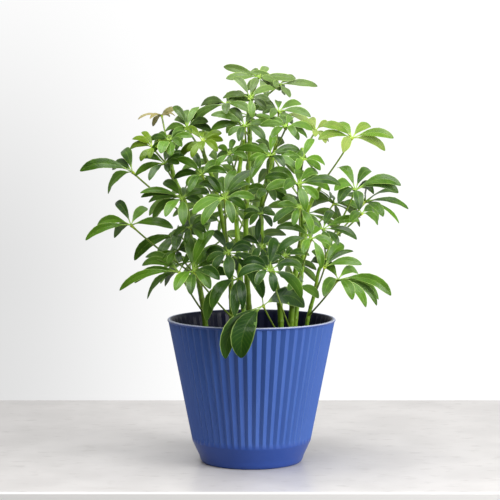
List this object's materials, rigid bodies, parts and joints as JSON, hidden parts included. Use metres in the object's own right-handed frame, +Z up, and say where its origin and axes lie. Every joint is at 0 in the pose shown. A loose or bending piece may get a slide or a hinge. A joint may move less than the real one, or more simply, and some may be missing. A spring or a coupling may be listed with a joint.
{
  "type": "potted umbrella plant",
  "caption": "Bushy umbrella plant with upright green canes and palmate glossy leaves, standing in soil in a ribbed tapered blue pot with a plain rim and foot band.",
  "frame": {"origin": "centre of the pot's flat underside, on the surface that it stands on", "axes": "+Z up along the pot's axis; -Y is the front, the side that the reference view shows; +X is right as seen from the front"},
  "size_m": [0.3901, 0.3217, 0.4702],
  "materials": {
    "pot_plastic": "satin moulded plastic, royal blue",
    "potting_soil": "dark crumbly potting mix",
    "green_cane": "smooth green stem, slightly glossy",
    "mature_leaf": "leathery glossy leaf",
    "young_leaf": "fresh yellow-green glossy leaf"
  },
  "bodies": {
    "root": {"pot": "pot_plastic", "soil": "potting_soil", "cane_a": "green_cane", "cane_b": "green_cane", "cane_c": "green_cane", "cane_d": "green_cane", "cane_e": "green_cane", "cane_f": "green_cane", "cane_g": "green_cane", "cane_h": "green_cane", "leaf_01": "young_leaf", "leaf_02": "young_leaf", "leaf_03": "mature_leaf", "leaf_04": "mature_leaf", "leaf_05": "mature_leaf", "leaf_06": "mature_leaf", "leaf_07": "mature_leaf", "leaf_08": "mature_leaf", "leaf_09": "mature_leaf", "leaf_10": "mature_leaf", "leaf_11": "mature_leaf", "leaf_12": "young_leaf", "leaf_13": "mature_leaf", "leaf_14": "mature_leaf", "leaf_15": "mature_leaf", "leaf_16": "mature_leaf", "leaf_17": "mature_leaf", "leaf_18": "mature_leaf", "leaf_19": "mature_leaf", "leaf_20": "mature_leaf", "leaf_21": "mature_leaf", "leaf_22": "mature_leaf", "leaf_23": "mature_leaf", "leaf_24": "young_leaf", "leaf_25": "young_leaf", "leaf_26": "mature_leaf", "leaf_27": "mature_leaf", "leaf_28": "mature_leaf", "leaf_29": "mature_leaf", "leaf_30": "mature_leaf", "leaf_31": "mature_leaf", "leaf_32": "mature_leaf", "leaf_33": "mature_leaf", "leaf_34": "mature_leaf", "leaf_35": "mature_leaf", "leaf_36": "mature_leaf", "leaf_37": "mature_leaf", "leaf_38": "mature_leaf", "leaf_39": "mature_leaf", "leaf_40": "mature_leaf", "leaf_41": "mature_leaf", "leaf_42": "mature_leaf", "leaf_43": "mature_leaf", "leaf_44": "mature_leaf", "leaf_45": "mature_leaf", "leaf_46": "mature_leaf", "leaf_47": "mature_leaf", "leaf_48": "mature_leaf", "leaf_49": "mature_leaf", "leaf_50": "mature_leaf"}
  },
  "joints": []
}
